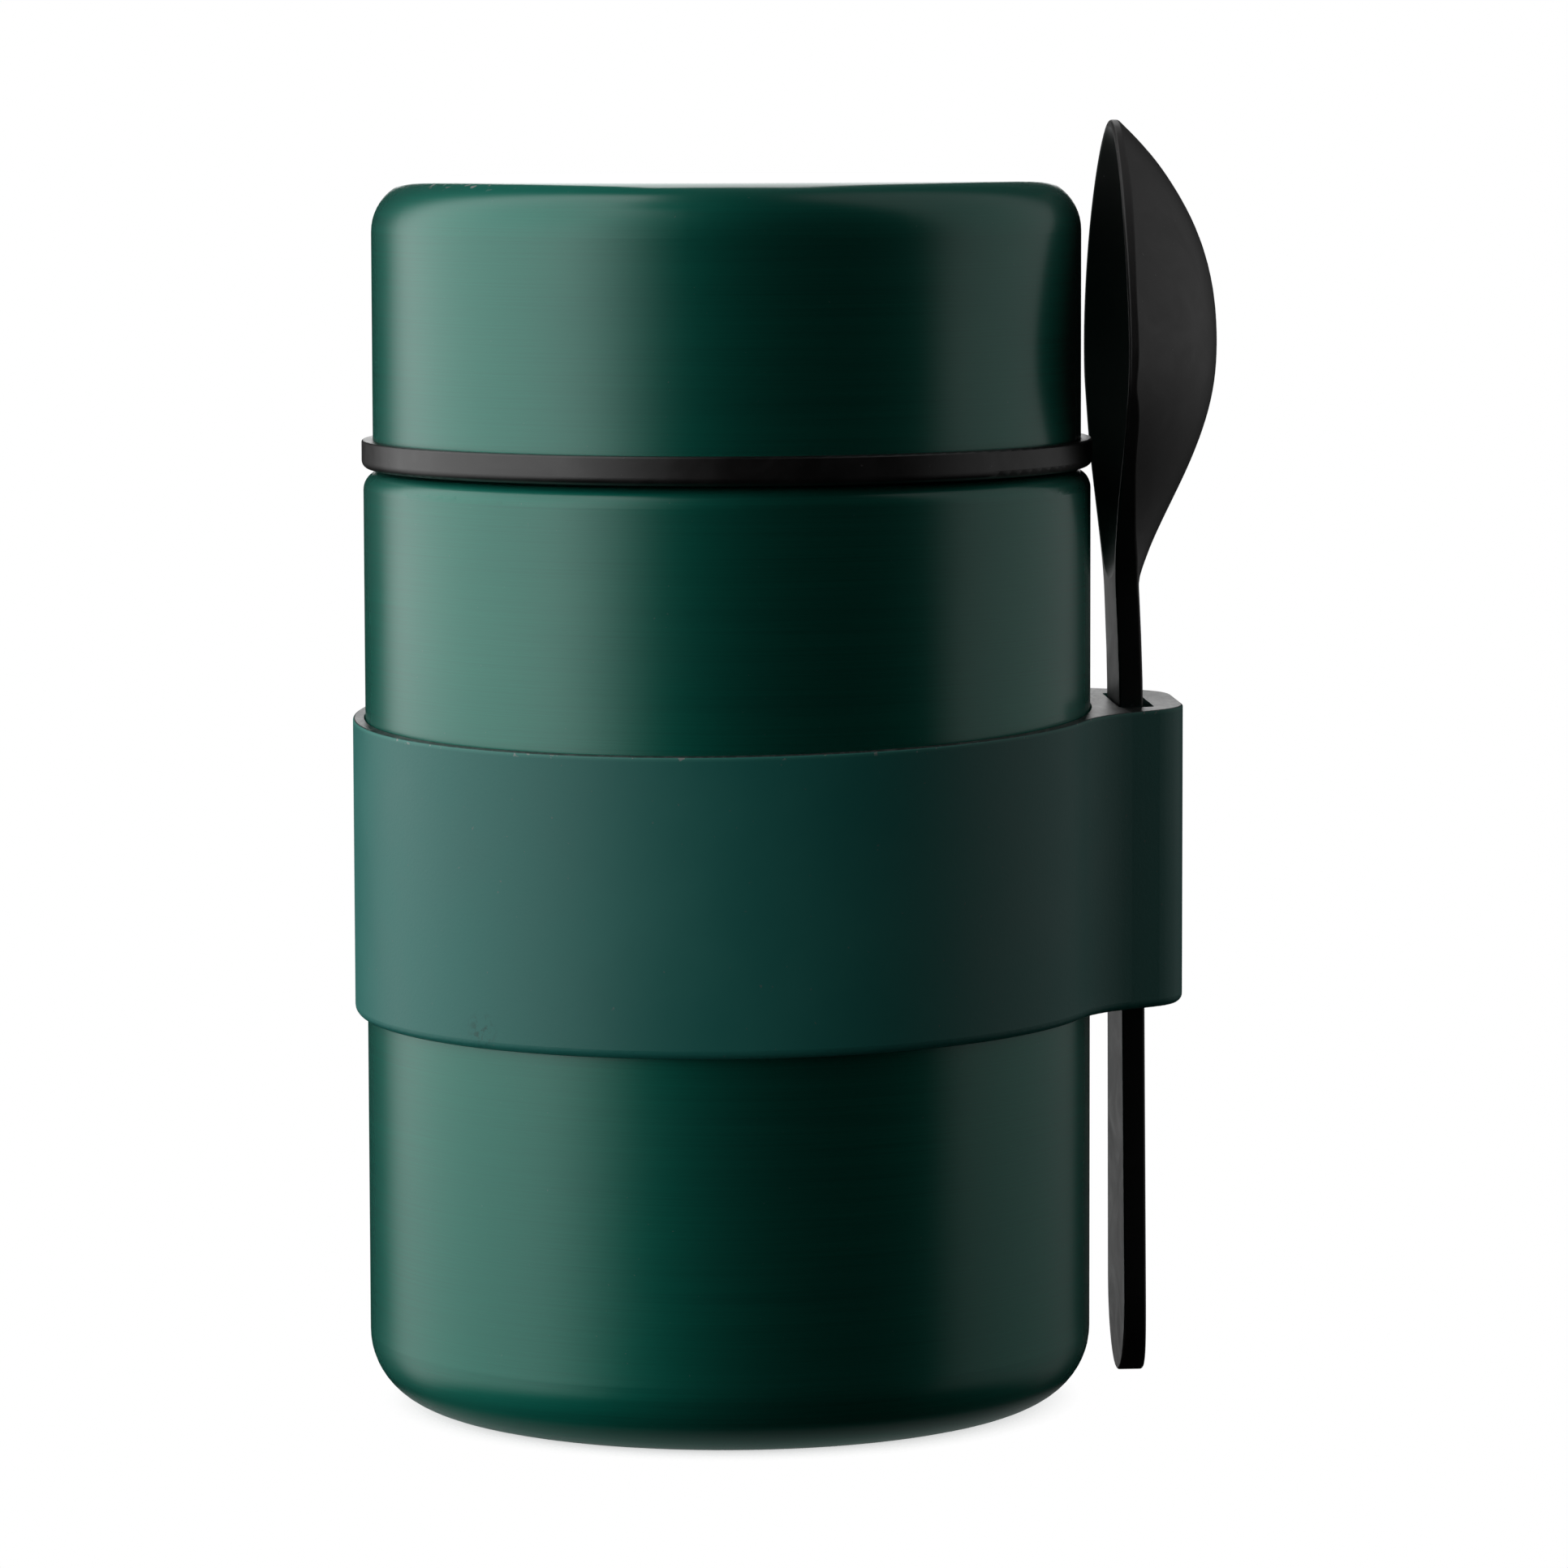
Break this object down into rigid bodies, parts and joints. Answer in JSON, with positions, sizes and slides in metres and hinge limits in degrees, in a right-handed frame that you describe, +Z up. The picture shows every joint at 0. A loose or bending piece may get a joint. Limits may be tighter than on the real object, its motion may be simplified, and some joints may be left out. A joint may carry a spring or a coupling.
{
  "type": "insulated food jar",
  "caption": "Double-walled steel food jar with a screw lid, an elastic band round its middle and a moulded spoon held in the band's pocket.",
  "frame": {"origin": "centre of the jar's base, on the surface it stands on", "axes": "+Z up along the jar's axis; +X towards the spoon and its pocket, which are turned 5 degrees towards +Y; the picture looks along +Y"},
  "size_m": [0.1074, 0.093, 0.159],
  "materials": {
    "green_lacquer": "satin",
    "lid_green_lacquer": "satin",
    "bare_steel": "satin",
    "black_plastic": "satin",
    "spoon_plastic": "satin",
    "band_silicone": "matte",
    "base_silicone": "matte",
    "seal_silicone": "satin",
    "foam": "matte",
    "foil": "polished",
    "getter_metal": "matte",
    "sealing_glass": "gloss"
  },
  "bodies": {
    "jar": {"outer_shell": "green_lacquer", "bottom_cup": "green_lacquer", "base_disc": "base_silicone", "inner_vessel": "bare_steel", "foil_wrap": "foil", "getter": "getter_metal", "vacuum_seal": "sealing_glass"},
    "seal": {"lid_seal": "seal_silicone"},
    "lid": {"lid_shell": "lid_green_lacquer", "lid_liner": "black_plastic", "lid_foam": "foam"},
    "band": {"band": "band_silicone"},
    "spoon": {"spoon": "spoon_plastic"}
  },
  "joints": [
    {"name": "lid_lift", "type": "slide", "parent": "jar", "child": "seal", "axis": [0, 0, 1], "range_m": [0, 0.04001]},
    {"name": "lid_turn", "type": "hinge", "parent": "seal", "child": "lid", "pos_m": [0, 0, 0.125], "axis": [0, 0, 1], "range_deg": [0, 1200]},
    {"name": "band_slide", "type": "slide", "parent": "jar", "child": "band", "axis": [0, 0, 1], "range_m": [-0.001, 0.026]},
    {"name": "spoon_slide", "type": "slide", "parent": "band", "child": "spoon", "axis": [0, 0, 1], "range_m": [-0.001, 0.09]}
  ],
  "couplings": [
    {"joint": "lid_lift", "follows": "lid_turn", "m_per_rad": 0.0019099}
  ]
}
